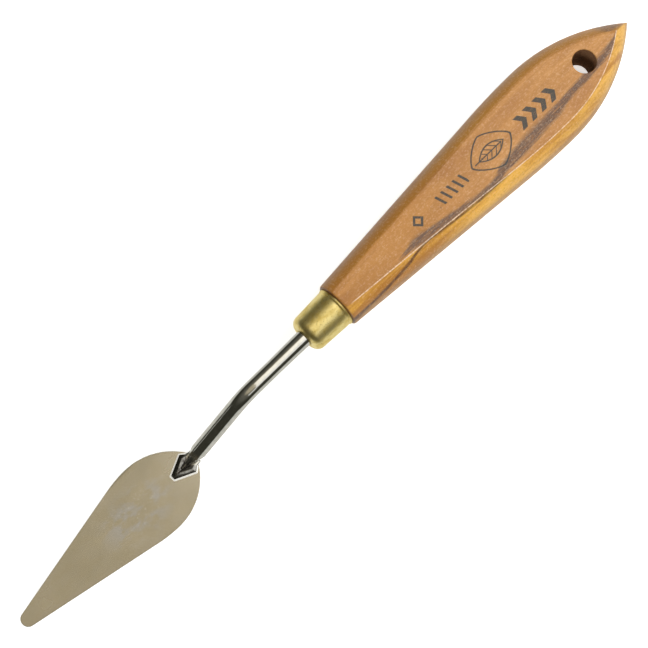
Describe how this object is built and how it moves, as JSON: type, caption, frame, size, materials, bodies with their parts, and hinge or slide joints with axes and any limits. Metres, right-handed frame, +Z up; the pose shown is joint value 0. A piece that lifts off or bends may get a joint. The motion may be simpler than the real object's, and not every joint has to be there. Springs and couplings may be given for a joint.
{
  "type": "palette knife",
  "caption": "Palette knife: pointed wooden handle with hang hole, brass ferrule, cranked steel shank with arrowhead foot, narrow trowel blade.",
  "frame": {"origin": "middle of the knife's length and width, in the plane of the blade's underside, which is the knife's lowest plane", "axes": "+X along the handle towards its pointed tip, the blade's tip is at -X; +Y across the knife, its mirror direction; +Z up, square to the blade and the handle's flats"},
  "size_m": [0.2044, 0.022, 0.0238],
  "materials": {
    "handle_wood": "oiled olive wood, fine grain with a dark streak, satin",
    "ferrule_brass": "drawn brass, satin with fine scratches",
    "shank_chrome": "polished bright plating",
    "blade_steel": "polished spring steel with a fine satin and light smudges",
    "braze_silver": "bright braze fillet",
    "tang_epoxy": "cured epoxy, hidden in the bore"
  },
  "bodies": {
    "root": {"handle": "handle_wood", "ferrule": "ferrule_brass", "shank": "shank_chrome", "blade": "blade_steel", "braze": "braze_silver", "tang_glue": "tang_epoxy"}
  },
  "joints": []
}
